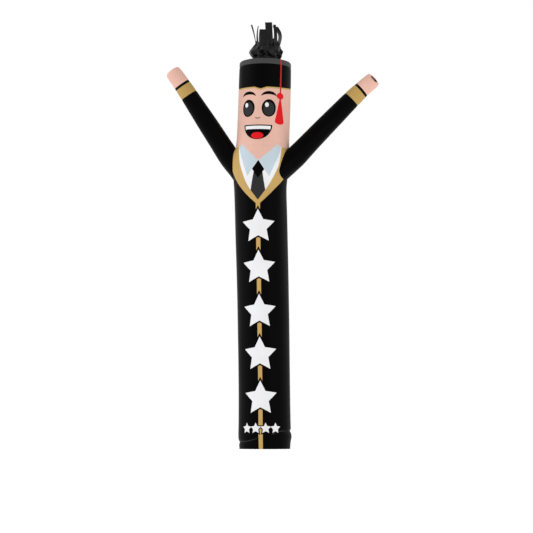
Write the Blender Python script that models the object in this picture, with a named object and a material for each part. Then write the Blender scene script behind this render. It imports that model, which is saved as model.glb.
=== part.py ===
"""An inflatable air dancer dressed as a graduate, blown up and standing on its hem.

Metres, +Z up, with the floor at z = 0. The arms rise to +X and -X and the front faces
-Y. Every piece is laid out round the middle of the hem and hangs on an empty there.
Angles round the body and the hair run from -Y towards +X.
"""

import math
from bisect import bisect_right

import bmesh
import bpy
import numpy as np
from mathutils import Vector

# Cloth and seams
WALL = 0.002  # coated cloth of every blown-up piece
FILM = 0.0012  # thin film of the hair
SEAM_GAP = 0.0003  # between two pieces sewn edge to edge
ROOT_GAP = 0.0009  # between a sleeve's root and the body it is sewn to

# Body, from the floor up
STAND_X = -0.0332  # the hem's middle, so that the origin is under the middle of the whole width
NECK_HEIGHT = 1.3026
CAP_EDGE_HEIGHT = 1.5640
RIM_HEIGHT = 1.6560
SHOULDER_HEIGHT = 1.6765  # where the rim turns in over the top
LEAN_SHARE = 0.7  # how far the cross-sections lean with the bend of the body
FRONT_ANGLE = -9.0  # degrees, the middle of the dressed front
CAP_EDGE_DIP = 0.0100  # the cap's edge hangs lower over the forehead
CAP_POINT_DIP = 0.0090  # and has one small point in the middle
CAP_POINT_HALF_ANGLE = 14.0  # degrees

# Strap fold that crosses the foot of the gown, low on the left and high on the right
FOLD_MEAN_HEIGHT = 0.0525
FOLD_RISE = 0.0255
FOLD_DEPTH_SIDE = 0.0045
FOLD_DEPTH_FRONT = 0.0016
FOLD_LIP = 0.0026
FOOT_ZONE = 0.200  # the rows of the gown follow the fold below this height

# Arms
ROOT_HEIGHT = 1.230  # of the body's section that the arms are measured from
HAND_LENGTH = 0.070
EDGE_BAND_LENGTH = 0.0112
BEND_START = 0.34  # an arm droops from here along it
BEND_END = 0.50
ROOT_WIDENING = 0.24  # a sleeve's root is wider from front to back

# Hair
HAIR_RADIUS = 0.0615
TOP_VENT_RADIUS = HAIR_RADIUS + 0.0007
TOP_VENT_SHIFT = 0.0050  # the top's vent sits off the middle, to the right
CREASE_HEIGHT = 1.6920  # the film is round below here, in the vent
CUT_HEIGHT = 1.7680  # the strips are cut down to here

# Facets
BODY_SIDES = 40
ARM_SIDES = 24

AXIS_ROWS = (  # height, drift to the right
    (0.000, 0.0000),
    (0.350, -0.0030),
    (0.700, -0.0085),
    (1.000, -0.0160),
    (1.130, -0.0185),
    (1.300, -0.0095),
    (1.460, -0.0032),
    (1.690, 0.0028),
)

GIRTH_ROWS = (  # height, radius of the outside
    (0.000, 0.1088),
    (0.020, 0.1108),
    (0.050, 0.1130),
    (0.110, 0.1120),
    (0.600, 0.1117),
    (1.050, 0.1118),
    (1.200, 0.1128),
    (1.310, 0.1136),
    (1.420, 0.1144),
    (1.560, 0.1138),
    (1.620, 0.1135),
    (1.660, 0.1127),
    (1.690, 0.1120),
)

TOP_ROWS = (  # radius from the axis, height above the shoulder
    (0.1090, 0.0026),
    (0.1055, 0.0040),
    (0.0900, 0.0072),
    (0.0760, 0.0088),
    (TOP_VENT_RADIUS, 0.0094),
)

ARM_ROWS = (  # distance along from the body's side, radius
    (-0.140, 0.0498),
    (0.000, 0.0470),
    (0.060, 0.0455),
    (0.200, 0.0436),
    (0.400, 0.0373),
    (0.470, 0.0354),
    (0.540, 0.0342),
)

HAND_ROWS = (  # distance along from the hand's end, share of the arm's radius, share of the slant
    (-0.034, 1.000, 0.0),
    (-0.014, 0.985, 0.1),
    (-0.004, 0.930, 0.5),
    (0.001, 0.800, 0.9),
    (0.001, 0.550, 1.0),
)

ARMS = (  # side, direction from +X, rise, axis height, set back, length, hand slant, swell, droop, cuff
    ("right", -5.0, 45.93, 1.1076, -0.018, 0.5302, -0.0055, 0.0070, 6.0, 0.0510),
    ("left", 190.0, 56.42, 1.0505, 0.045, 0.5051, -0.0030, 0.0125, 2.9, 0.0466),
)

SLEEVE_STEPS = (0.10, 0.16, 0.23, 0.31)  # rings along a sleeve past its root
GOWN_FOOT_SHARES = (0.0, 0.45, 0.80, 1.0)  # rings below the fold, as shares of its height
GOWN_FOLD_SHARES = (0.09, 0.20, 0.36, 0.62, 1.0)  # rings from the fold up to the foot zone's top
GOWN_HEIGHTS = (0.38, 0.58, 0.78, 0.95, 1.05, 1.085, 1.12, 1.155, 1.19, 1.225, 1.26, 1.285)
HEAD_SHARES = (0.0, 0.12, 0.28, 0.50, 0.72, 0.90, 1.0)
CAP_SHARES = (0.0, 0.33, 0.66, 1.0)

HAIR_ROWS = (  # height, spread, shift to the right
    (1.6780, 1.00, 0.0000),
    (CREASE_HEIGHT, 1.00, 0.0000),
    (1.7100, 1.02, 0.0015),
    (1.7240, 1.18, -0.0050),
    (1.7420, 1.05, 0.0010),
    (1.7550, 0.91, 0.0045),
    (1.7680, 0.86, 0.0055),
)

HAIR_STRIPS = (  # first angle, last angle, columns, top x, top y, top height, top width, turn, bow
    (-92, -78, 2, -0.0620, -0.020, 1.8500, 0.0050, 30, -0.009),
    (-74, -60, 2, -0.0285, -0.042, 1.8440, 0.0050, 25, 0.005),
    (-46, -12, 4, -0.0085, -0.040, 1.8215, 0.0290, 0, 0.002),
    (-9, 26, 4, 0.0160, -0.050, 1.8500, 0.0310, -6, 0.000),
    (30, 43, 2, 0.0430, -0.035, 1.8430, 0.0080, 20, 0.004),
    (47, 98, 4, 0.0560, 0.000, 1.8180, 0.0120, 40, 0.010),
    (103, 146, 3, 0.0300, 0.046, 1.8000, 0.0240, 170, 0.004),
    (152, 222, 5, 0.0080, 0.056, 1.8220, 0.0320, 180, 0.002),
    (228, 262, 3, -0.0330, 0.030, 1.7860, 0.0100, 220, 0.004),
)
STRIP_STEPS = 4

MATERIALS = {  # colour, roughness
    "gown_black": ((0.013, 0.013, 0.014), 0.42),
    "skin_tone": ((0.730, 0.400, 0.300), 0.48),
    "cap_black": ((0.011, 0.011, 0.012), 0.42),
    "rim_grey": ((0.060, 0.060, 0.062), 0.45),
    "cuff_gold": ((0.500, 0.300, 0.090), 0.45),
    "hair_film": ((0.018, 0.018, 0.019), 0.28),
}


def clear_scene():
    for thing in list(bpy.data.objects):
        bpy.data.objects.remove(thing)


def material(name):
    """The named cloth, made once."""
    found = bpy.data.materials.get(name)
    if found:
        return found
    colour, roughness = MATERIALS[name]
    made = bpy.data.materials.new(name)
    made.use_nodes = True
    shader = made.node_tree.nodes["Principled BSDF"]
    shader.inputs["Base Color"].default_value = (*colour, 1.0)
    shader.inputs["Roughness"].default_value = roughness
    shader.inputs["Metallic"].default_value = 0.0
    return made


def smooth(rows, column, at):
    """A column of a table, read on a smooth curve through its rows."""
    places = [row[0] for row in rows]
    values = [row[column] for row in rows]
    slopes = np.gradient(values, places)
    at = min(max(at, places[0]), places[-1])
    low = min(bisect_right(places, at), len(rows) - 1) - 1
    span = places[low + 1] - places[low]
    t = (at - places[low]) / span
    return float(
        (2 * t**3 - 3 * t**2 + 1) * values[low]
        + (t**3 - 2 * t**2 + t) * span * slopes[low]
        + (3 * t**2 - 2 * t**3) * values[low + 1]
        + (t**3 - t**2) * span * slopes[low + 1]
    )


def around(count):
    """Angles in degrees of the columns round the body, one of them on the front."""
    return [FRONT_ANGLE + 360.0 * index / count for index in range(count)]


def lean_at(height):
    """The lean of a cross-section, in radians, none at the floor."""
    step = 0.01
    slope = (smooth(AXIS_ROWS, 1, height + step) - smooth(AXIS_ROWS, 1, height - step)) / (2 * step)
    eased = min(height / FOOT_ZONE, 1.0)
    return LEAN_SHARE * math.atan(slope) * eased


def fold_height(degrees):
    """The height of the strap fold at an angle."""
    sway = math.tanh(1.6 * math.sin(math.radians(degrees - 5.0))) / math.tanh(1.6)
    return FOLD_MEAN_HEIGHT + FOLD_RISE * sway


def foot_relief(degrees, height):
    """The strap fold's groove and the soft lip that bulges beside it."""
    side = math.sin(math.radians(degrees))
    depth = FOLD_DEPTH_FRONT + (FOLD_DEPTH_SIDE - FOLD_DEPTH_FRONT) * side**2
    groove = math.exp(-(((height - fold_height(degrees)) / 0.006) ** 2))
    lip = math.exp(-(((height - 0.052) / 0.013) ** 2)) * (0.55 + 0.45 * side)
    return FOLD_LIP * lip - depth * groove


def arm_frame(arm):
    """Where an arm leaves the body's side, its direction, its upper normal and its side normal."""
    _, direction, rise, axis_height, set_back, *_ = arm
    turn, tilt = math.radians(direction), math.radians(rise)
    outward = Vector((math.cos(turn), math.sin(turn), 0.0))
    along = outward * math.cos(tilt) + Vector((0.0, 0.0, math.sin(tilt)))
    upper = Vector((0.0, 0.0, math.cos(tilt))) - outward * math.sin(tilt)
    reach = smooth(GIRTH_ROWS, 1, ROOT_HEIGHT)
    foot = Vector((smooth(AXIS_ROWS, 1, ROOT_HEIGHT), set_back, axis_height))
    start = foot + along * (reach / math.cos(tilt))
    return start, along, upper, along.cross(upper)


def swell_at(degrees, height):
    """The body swells out round the root of each arm."""
    total = 0.0
    for arm in ARMS:
        start = arm_frame(arm)[0]
        middle = math.degrees(math.atan2(start.x - smooth(AXIS_ROWS, 1, ROOT_HEIGHT), -start.y))
        away = (degrees - middle + 180.0) % 360.0 - 180.0
        across = math.radians(away) * smooth(GIRTH_ROWS, 1, height)
        total += arm[7] * math.exp(-((across / 0.062) ** 2) - ((height - start.z) / 0.078) ** 2)
    return total


def body_radius(degrees, height):
    return smooth(GIRTH_ROWS, 1, height) + foot_relief(degrees, height) + swell_at(degrees, height)


def body_point(degrees, height, inset=0.0):
    """A point of the body's cloth, the inset being measured inwards from the outside."""
    angle, lean = math.radians(degrees), lean_at(height)
    radius = body_radius(degrees, height) - inset
    across = radius * math.sin(angle)
    return Vector((
        smooth(AXIS_ROWS, 1, height) + across * math.cos(lean),
        -radius * math.cos(angle),
        height - across * math.sin(lean),
    ))


def clear_of_body(point):
    """How far a point stands outside the body's cloth."""
    height = point.z
    for _ in range(3):
        across = point.x - smooth(AXIS_ROWS, 1, height)
        height = point.z + across * math.sin(lean_at(height))
    across = (point.x - smooth(AXIS_ROWS, 1, height)) / math.cos(lean_at(height))
    degrees = math.degrees(math.atan2(across, -point.y))
    return math.hypot(across, point.y) - body_radius(degrees, height)


def cap_edge(degrees):
    """The height of the seam between the head and the cap, with its point over the forehead."""
    away = (degrees - FRONT_ANGLE + 180.0) % 360.0 - 180.0
    facing = max(math.cos(math.radians(away)), 0.0)
    point = max(1.0 - abs(away) / CAP_POINT_HALF_ANGLE, 0.0)
    return CAP_EDGE_HEIGHT - CAP_EDGE_DIP * facing * (2.0 - facing) - CAP_POINT_DIP * point


def sheet(name, outer, inner, cloth, cut=None):
    """A closed sheet between two grids of points, rows by columns, joined all the way round.

    The cells that cut(row, column) names are left open.
    """
    rows, columns = len(outer) - 1, len(outer[0])
    mesh = bmesh.new()
    sides = []
    for grid in (outer, inner):
        sides.append([[mesh.verts.new(point) for point in ring] for ring in grid])
    outside, inside = sides

    def is_cloth(row, column):
        return 0 <= row < rows and not (cut and cut(row, column % columns))

    for row in range(rows):
        for column in range(columns):
            if not is_cloth(row, column):
                continue
            after = (column + 1) % columns
            corners = ((row, column), (row, after), (row + 1, after), (row + 1, column))
            beside = ((row - 1, column), (row, column + 1), (row + 1, column), (row, column - 1))
            mesh.faces.new([outside[r][c] for r, c in corners])
            mesh.faces.new([inside[r][c] for r, c in reversed(corners)])
            for index, neighbour in enumerate(beside):
                if is_cloth(*neighbour):
                    continue
                first, last = corners[index], corners[(index + 1) % 4]
                mesh.faces.new((
                    outside[last[0]][last[1]],
                    outside[first[0]][first[1]],
                    inside[first[0]][first[1]],
                    inside[last[0]][last[1]],
                ))
    loose = [vert for vert in mesh.verts if not vert.link_faces]
    bmesh.ops.delete(mesh, geom=loose, context="VERTS")
    return add_object(name, mesh, cloth)


def add_object(name, mesh, cloth):
    data = bpy.data.meshes.new(name)
    mesh.to_mesh(data)
    mesh.free()
    data.materials.append(material(cloth))
    data.shade_smooth()
    data.set_sharp_from_angle(angle=math.radians(40))
    made = bpy.data.objects.new(name, data)
    made.parent = bpy.data.objects["hem_middle"]
    bpy.context.collection.objects.link(made)
    return made


def turned_inside(profile, wall):
    """The inner line of a profile of (place, radius) pairs, one wall thickness in along its normals."""
    inner = []
    for index, (place, radius) in enumerate(profile):
        before = profile[max(index - 1, 0)]
        after = profile[min(index + 1, len(profile) - 1)]
        run, rise = after[0] - before[0], after[1] - before[1]
        length = math.hypot(run, rise)
        inner.append((place + wall * rise / length, radius - wall * run / length))
    return inner


def body_panel(name, ring_heights, cloth):
    """A tube of the body's cloth; each row of ring_heights gives one height for an angle."""
    angles = around(BODY_SIDES)
    outer = [[body_point(a, height(a)) for a in angles] for height in ring_heights]
    inner = [[body_point(a, height(a), WALL) for a in angles] for height in ring_heights]
    return sheet(name, outer, inner, cloth)


def between(low, high, shares):
    """Ring heights between two edges, which may each change with the angle."""
    return [lambda a, s=share: low(a) + s * (high(a) - low(a)) for share in shares]


def level(height):
    return lambda angle: height


def make_gown():
    """The black body tube, from the hem up to the neck seam, with a hole for each arm."""
    rings = between(level(0.0), fold_height, GOWN_FOOT_SHARES)
    rings += between(fold_height, level(FOOT_ZONE), GOWN_FOLD_SHARES)
    rings += [level(height) for height in (*GOWN_HEIGHTS, NECK_HEIGHT - SEAM_GAP / 2)]
    gown = body_panel("gown_tube", rings, "gown_black")
    for arm in ARMS:
        cutter = arm_bore(arm)
        cut = gown.modifiers.new("armhole_" + arm[0], "BOOLEAN")
        cut.operation = "DIFFERENCE"
        cut.object = cutter


def make_head():
    seam = level(NECK_HEIGHT + SEAM_GAP / 2)
    edge = lambda angle: cap_edge(angle) - SEAM_GAP / 2
    body_panel("head_panel", between(seam, edge, HEAD_SHARES), "skin_tone")


def make_cap():
    """The cap's band, the grey rim that turns in over its top, and the top panel round the hair."""
    edge = lambda angle: cap_edge(angle) + SEAM_GAP / 2
    body_panel("cap_band", between(edge, level(RIM_HEIGHT - SEAM_GAP / 2), CAP_SHARES), "cap_black")

    start = RIM_HEIGHT + SEAM_GAP / 2
    rise = SHOULDER_HEIGHT - RIM_HEIGHT
    profile = [(height, smooth(GIRTH_ROWS, 1, height)) for height in (start, start + 0.6 * rise)]
    profile.append((SHOULDER_HEIGHT, 0.1112))
    profile += [(SHOULDER_HEIGHT + lift, radius) for radius, lift in TOP_ROWS]
    seam = len(profile) - len(TOP_ROWS) + 1
    lines = (profile, turned_inside(profile, WALL))
    sheet("cap_rim", *([cap_ring(*place) for place in line[: seam + 1]] for line in lines), "rim_grey")
    grids = []
    for line in lines:
        height, radius = line[seam]
        past_seam = [(height, radius - SEAM_GAP), *line[seam + 1 :]]
        grids.append([cap_ring(*place) for place in past_seam])
    sheet("cap_top", *grids, "cap_black")


def cap_centre(height, radius):
    """The x of the middle of a ring of the cap's top."""
    rim_radius = TOP_ROWS[0][0]
    share = max(rim_radius - radius, 0.0) / (rim_radius - TOP_VENT_RADIUS)
    lean = (height - RIM_HEIGHT) * math.sin(lean_at(RIM_HEIGHT))
    return smooth(AXIS_ROWS, 1, RIM_HEIGHT) + lean + TOP_VENT_SHIFT * share


def cap_ring(height, radius):
    """A ring of the cap's top, level across the leaning body."""
    lean, centre = lean_at(RIM_HEIGHT), cap_centre(height, radius)
    ring = []
    for degrees in around(BODY_SIDES):
        across = radius * math.sin(math.radians(degrees))
        y = -radius * math.cos(math.radians(degrees))
        ring.append(Vector((centre + across * math.cos(lean), y, height - across * math.sin(lean))))
    return ring


def droop_at(arm, place):
    """How far an arm has drooped below its straight line at a place, and its turn there in radians."""
    droop, span = math.radians(arm[8]), BEND_END - BEND_START
    share = min(max((place - BEND_START) / span, 0.0), 1.0)
    drop = droop * (span * (share**3 - share**4 / 2) + max(place - BEND_END, 0.0))
    return drop, droop * (3 * share**2 - 2 * share**3)


def arm_point(arm, index, place, radius):
    """A point of an arm's cloth on the column with this index."""
    start, along, upper, sideways = arm_frame(arm)
    drop, turn = droop_at(arm, place)
    angle = math.tau * index / ARM_SIDES
    wide = 1.0 + ROOT_WIDENING * math.exp(-max(place + 0.05, 0.0) / 0.08)
    normal = upper * math.cos(turn) + along * math.sin(turn)
    spread = normal * math.cos(angle) + sideways * (wide * math.sin(angle))
    return start + along * place - upper * drop + spread * radius


def arm_radius(place):
    return smooth(ARM_ROWS, 1, place)


def root_place(arm, index, inset):
    """How far along an arm this column of its cloth leaves the body."""
    inside, outside = -0.14, 0.16
    for _ in range(40):
        middle = (inside + outside) / 2
        point = arm_point(arm, index, middle, arm_radius(middle) - inset)
        if clear_of_body(point) < ROOT_GAP:
            inside = middle
        else:
            outside = middle
    return outside


def arm_bore(arm):
    """The cutter that opens the body under an arm, as wide as the arm's inside."""
    places = (-0.125, -0.06, -0.04, -0.02, 0.02, 0.06, 0.12)
    mesh = bmesh.new()
    rings = []
    for place in places:
        radius = arm_radius(place) - WALL
        rings.append([mesh.verts.new(arm_point(arm, i, place, radius)) for i in range(ARM_SIDES)])
    for low, high in zip(rings, rings[1:]):
        for index in range(ARM_SIDES):
            after = (index + 1) % ARM_SIDES
            mesh.faces.new((low[index], low[after], high[after], high[index]))
    mesh.faces.new(rings[0][::-1])
    mesh.faces.new(rings[-1])
    bmesh.ops.recalc_face_normals(mesh, faces=mesh.faces)
    cutter = add_object("bore_" + arm[0], mesh, "gown_black")
    cutter.hide_render = True
    cutter.display_type = "WIRE"
    return cutter


def arm_panel(name, arm, places, cloth):
    """A plain tube of an arm's cloth through rings at these places."""
    columns = range(ARM_SIDES)
    outer = [[arm_point(arm, i, place, arm_radius(place)) for i in columns] for place in places]
    inner = [[arm_point(arm, i, place, arm_radius(place) - WALL) for i in columns] for place in places]
    sheet(name, outer, inner, cloth)


def make_sleeve(arm, end):
    """The black sleeve, its root cut to the round of the body."""
    columns = range(ARM_SIDES)
    grids = []
    for inset in (0.0, WALL):
        roots = [root_place(arm, i, inset) for i in columns]
        grid = [[arm_point(arm, i, roots[i], arm_radius(roots[i]) - inset) for i in columns]]
        first = SLEEVE_STEPS[0]
        halves = [(roots[i] + first) / 2 for i in columns]
        grid.append([arm_point(arm, i, halves[i], arm_radius(halves[i]) - inset) for i in columns])
        for place in (*SLEEVE_STEPS, end):
            grid.append([arm_point(arm, i, place, arm_radius(place) - inset) for i in columns])
        grids.append(grid)
    sheet("sleeve_" + arm[0], *grids, "gown_black")


def make_hand(arm, start):
    """The skin-coloured end of an arm, closed over to a round vent."""
    length, slant = arm[5:7]
    profile = [(start, arm_radius(start))]
    slants = [0.0]
    for back, share, tip in HAND_ROWS:
        place = length + back
        profile.append((place, arm_radius(place) * share))
        slants.append(tip)
    grids = []
    for line in (profile, turned_inside(profile, WALL)):
        grid = []
        for (place, radius), tip in zip(line, slants):
            ring = []
            for index in range(ARM_SIDES):
                shift = slant * tip * math.sin(math.tau * index / ARM_SIDES)
                ring.append(arm_point(arm, index, place + shift, radius))
            grid.append(ring)
        grids.append(grid)
    sheet("hand_" + arm[0], *grids, "skin_tone")


def make_arm(arm):
    """Sleeve, gold cuff, black edge band and hand, end to end."""
    hand = arm[5] - HAND_LENGTH
    band = hand - EDGE_BAND_LENGTH
    cuff = band - arm[9]
    half = SEAM_GAP / 2
    make_sleeve(arm, cuff - half)
    arm_panel("cuff_" + arm[0], arm, (cuff + half, (cuff + band) / 2, band - half), "cuff_gold")
    arm_panel("cuff_band_" + arm[0], arm, (band + half, hand - half), "cap_black")
    make_hand(arm, hand + half)


def hair_relief(degrees, height):
    """The zig-zag creases of the crumpled film, fading towards the vent."""
    rise = max(height - CREASE_HEIGHT, 0.0) / (CUT_HEIGHT - CREASE_HEIGHT)
    angle = math.radians(degrees)
    waves = 0.0038 * math.sin(5 * angle + 4.4 * rise) + 0.0026 * math.sin(8 * angle - 6.0 * rise)
    return waves * min(2.5 * rise, 1.0)


def sleeve_point(degrees, height, inset):
    """A point of the uncut part of the hair."""
    radius = HAIR_RADIUS * smooth(HAIR_ROWS, 1, height) + hair_relief(degrees, height) - inset
    angle = math.radians(degrees)
    shift = cap_centre(CREASE_HEIGHT, TOP_VENT_RADIUS) + smooth(HAIR_ROWS, 2, height)
    return Vector((shift + radius * math.sin(angle), -radius * math.cos(angle), height))


def strip_point(strip, share, rise, inset):
    """A point of a cut strip: share runs across it from its first edge, rise from the cut to its tip."""
    first, last, _, x, y, height, width, turn, bow = strip
    start, end = (sleeve_point(a, CUT_HEIGHT, inset) for a in (first, last))
    foot, chord = (start + end) / 2, end - start
    tip = Vector((x, y, height))
    facing = Vector((math.cos(math.radians(turn)), math.sin(math.radians(turn)), 0.0))
    across = chord.lerp(facing * width, rise**0.8)
    middle = math.radians((first + last) / 2)
    outward = Vector((math.sin(middle), -math.cos(middle), 0.0))
    line = foot.lerp(tip, rise) + outward * (bow * math.sin(math.pi * rise))
    normal = across.normalized().cross((tip - foot).normalized())
    round_edge = sleeve_point(first + share * (last - first), CUT_HEIGHT, inset)
    level_point = line + across * (share - 0.5) - normal * (inset * rise)
    return level_point.lerp(round_edge + (line - foot), (1.0 - rise) ** 2)


def make_hair():
    """One ring of film: a crumpled sleeve through the top's vent, cut into strips above."""
    columns = []
    for strip in HAIR_STRIPS:
        count = strip[2]
        for index in range(count):
            share = index / (count - 1)
            columns.append((strip, share, strip[0] + share * (strip[1] - strip[0])))
    rows = len(HAIR_ROWS) - 1
    ends = [index for index, column in enumerate(columns) if column[1] == 1.0]
    grids = []
    for inset in (0.0, FILM):
        grid = [[sleeve_point(a, row[0], inset) for _, _, a in columns] for row in HAIR_ROWS]
        for step in range(1, STRIP_STEPS + 1):
            rise = step / STRIP_STEPS
            grid.append([strip_point(strip, share, rise, inset) for strip, share, _ in columns])
        grids.append(grid)
    sheet("hair_streamers", *grids, "hair_film", lambda row, column: row >= rows and column in ends)


def build():
    clear_scene()
    stand = bpy.data.objects.new("hem_middle", None)
    stand.location.x = STAND_X
    bpy.context.collection.objects.link(stand)
    make_gown()
    make_head()
    make_cap()
    make_hair()
    for arm in ARMS:
        make_arm(arm)


build()
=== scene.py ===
"""Looks of the inflatable air dancer in graduate dress: printed cloth, film hair, light and camera.

Metres, +Z up, in the frame of the solids. The dressed front faces -Y. Cloth is laid out in its
own coordinates: "girth" runs round a tube from the middle of its front, "run" runs along it.
"""

import math

import bmesh
import bpy
import numpy as np
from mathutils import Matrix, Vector, geometry, kdtree


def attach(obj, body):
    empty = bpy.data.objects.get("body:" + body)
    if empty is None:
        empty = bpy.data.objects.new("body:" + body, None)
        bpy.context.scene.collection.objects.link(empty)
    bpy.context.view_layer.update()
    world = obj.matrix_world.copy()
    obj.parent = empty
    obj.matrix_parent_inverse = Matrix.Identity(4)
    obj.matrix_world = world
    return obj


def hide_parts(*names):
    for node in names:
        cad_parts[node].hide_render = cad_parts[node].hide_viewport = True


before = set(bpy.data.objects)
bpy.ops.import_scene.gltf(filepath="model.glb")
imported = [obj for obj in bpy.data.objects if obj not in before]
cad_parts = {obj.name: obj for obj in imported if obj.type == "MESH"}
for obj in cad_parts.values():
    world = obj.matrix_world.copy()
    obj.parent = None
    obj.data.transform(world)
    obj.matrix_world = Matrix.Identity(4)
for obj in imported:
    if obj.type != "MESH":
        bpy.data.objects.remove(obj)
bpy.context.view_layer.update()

# Body, as in the solids
STAND_X = -0.0332
NECK_HEIGHT = 1.3026
CAP_EDGE_HEIGHT = 1.5640
RIM_HEIGHT = 1.6560
SHOULDER_HEIGHT = 1.6765
LEAN_SHARE = 0.7
FRONT_ANGLE = -9.0
CAP_EDGE_DIP = 0.0100
CAP_POINT_DIP = 0.0090
CAP_POINT_HALF_ANGLE = 14.0
FOLD_DEPTH_SIDE = 0.0045
FOLD_DEPTH_FRONT = 0.0024
FOLD_LIP = 0.0026
FOOT_ZONE = 0.200
ROOT_HEIGHT = 1.230
HAND_LENGTH = 0.070
EDGE_BAND_LENGTH = 0.0112
BEND_START = 0.34
BEND_END = 0.50
ROOT_WIDENING = 0.24
HAIR_RADIUS = 0.0615
TOP_VENT_RADIUS = HAIR_RADIUS + 0.0007
TOP_VENT_SHIFT = 0.0050
CREASE_HEIGHT = 1.6920
CUT_HEIGHT = 1.7680

AXIS_ROWS = (  # height, drift to the right
    (0.000, 0.0000),
    (0.350, -0.0030),
    (0.700, -0.0085),
    (1.000, -0.0160),
    (1.130, -0.0185),
    (1.300, -0.0095),
    (1.460, -0.0032),
    (1.690, 0.0028),
)

GIRTH_ROWS = (  # height, radius of the outside
    (0.000, 0.1088),
    (0.020, 0.1108),
    (0.050, 0.1130),
    (0.110, 0.1120),
    (0.600, 0.1117),
    (1.050, 0.1134),
    (1.200, 0.1128),
    (1.310, 0.1136),
    (1.420, 0.1144),
    (1.560, 0.1138),
    (1.620, 0.1135),
    (1.660, 0.1127),
    (1.690, 0.1120),
)

FOLD_ROWS = (  # degrees round the foot, height of the strap's fold
    (-180, 0.0563),
    (-150, 0.0400),
    (-120, 0.0310),
    (-90, 0.0295),
    (-65, 0.0308),
    (-37, 0.0346),
    (-24, 0.0408),
    (-10, 0.0492),
    (8, 0.0545),
    (25, 0.0672),
    (40, 0.0748),
    (57, 0.0750),
    (90, 0.0765),
    (120, 0.0760),
    (150, 0.0680),
    (180, 0.0563),
)

ARM_ROWS = (  # distance along from the body's side, radius
    (-0.140, 0.0498),
    (0.000, 0.0470),
    (0.060, 0.0455),
    (0.200, 0.0436),
    (0.400, 0.0373),
    (0.470, 0.0354),
    (0.540, 0.0342),
)

HAND_ROWS = (  # distance along from the hand's end, share of the radius, share of the slant
    (-0.034, 1.000, 0.0),
    (-0.014, 0.985, 0.1),
    (-0.004, 0.930, 0.5),
    (0.001, 0.800, 0.9),
    (0.001, 0.550, 1.0),
)

# side, direction from +X, rise, height on the axis, set back, length, hand slant, swell, droop, cuff
ARMS = (
    ("right", -5.0, 45.93, 1.1076, -0.018, 0.5302, -0.0055, 0.0070, 6.0, 0.0510),
    ("left", 190.0, 56.42, 1.0505, 0.045, 0.5051, -0.0030, 0.0125, 2.9, 0.0466),
)

HAIR_ROWS = (  # height, spread, shift to the right
    (1.6780, 1.00, 0.0000),
    (CREASE_HEIGHT, 1.00, 0.0000),
    (1.7100, 1.02, 0.0015),
    (1.7240, 1.18, -0.0050),
    (1.7420, 1.05, 0.0010),
    (1.7550, 0.91, 0.0045),
    (1.7680, 0.86, 0.0055),
)

HAIR_STRIPS = (  # first angle, last angle, columns, top x, top y, top height, top width, turn, bow
    (-92, -78, 2, -0.0585, -0.020, 1.8460, 0.0075, 0, -0.002),
    (-74, -60, 2, -0.0285, -0.042, 1.8360, 0.0040, 10, 0.003),
    (-46, -12, 4, -0.0085, -0.040, 1.8215, 0.0290, 0, 0.002),
    (-9, 26, 4, 0.0160, -0.050, 1.8500, 0.0310, -6, 0.000),
    (29, 46, 2, 0.0415, -0.035, 1.8430, 0.0125, 0, 0.004),
    (48, 98, 5, 0.0450, -0.018, 1.8380, 0.0260, 12, 0.012),
    (103, 146, 4, 0.0300, 0.046, 1.8000, 0.0240, 170, 0.004),
    (152, 222, 6, 0.0080, 0.056, 1.8220, 0.0320, 180, 0.002),
    (228, 262, 4, -0.0330, 0.030, 1.7860, 0.0100, 220, 0.004),
)
CREASE_HEIGHTS = (1.7020, 1.7130, 1.7260, 1.7400, 1.7540)  # rings of the film's folds
FILM_DEPTH = 0.0065
FILM_SLIDE = 0.0040
FILM_TURN = 4.0
FACET_ANGLE = 6
STRIP_STEPS = 16

# Cloth
PRINT_RADIUS = 0.1120  # girth on the body is measured at this radius
CLOTH_STEP = 0.0060  # spacing of the cloth's points, and of the finer points on the head and the rim
HEAD_STEP = 0.005
RIM_STEP = 0.004
EDGE_STEP = 0.0030  # spacing of the points along a printed edge
ARM_COLUMNS = 72
BACK_WELD = 1e-5  # how near the points of a printed tube's back are joined, and a ring tube's
RING_WELD = 1e-6
SEAM_PINCH = 0.0011  # how deep a seam pulls the cloth in
SEAM_WIDTH = 0.0045
PUCKER = 0.0005
ARM_GIRTH_RADIUS = 0.0420  # girth on an arm is measured at this radius
ARM_GIRTH = 2 * math.pi * ARM_GIRTH_RADIUS
HAND_TILT = {"right": 0.0060, "left": 0.0}  # the nearer rim of the hand's vent is drawn back by this
HEM_STITCH = 0.0220
PIPING = 0.0065  # how far the cap's piping reaches below its edge, and above
PIPING_TOP = 0.004
CREASES = (  # girth and height of both ends, bow of the middle, depth, half width
    (-0.040, 1.2700, 0.042, 1.2825, 0.0000, 0.0011, 0.0055),
    (-0.078, 1.2912, -0.034, 1.2916, -0.0010, 0.0007, 0.0050),
    (0.070, 1.1566, 0.122, 1.1600, 0.0010, 0.0012, 0.0050),
    (0.118, 1.2976, 0.150, 1.2950, 0.0000, 0.0012, 0.0045),
    (-0.145, 1.1350, -0.100, 1.1480, 0.0030, 0.0010, 0.0060),
    (0.018, 0.0600, 0.062, 0.0670, 0.0000, 0.0012, 0.0035),
)
ARMHOLE_REACH = {  # the seam's place along an arm: above, in front, below, behind
    "right": (0.000, 0.003, 0.000, 0.002),
    "left": (-0.008, 0.019, -0.003, 0.002),
}
ROOT_FULLNESS = {"right": 0.021, "left": 0.0}  # a sleeve's root is fuller in front of its upper side
SWELL_ACROSS = 0.062  # how fast the body's swell fades round it, above an arm and below
SWELL_RISE = 0.078
SWELL_FALL = {"right": 0.060, "left": 0.078}
PULL_FADE = 0.013
FULLEST_TURN = math.radians(33)
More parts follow.
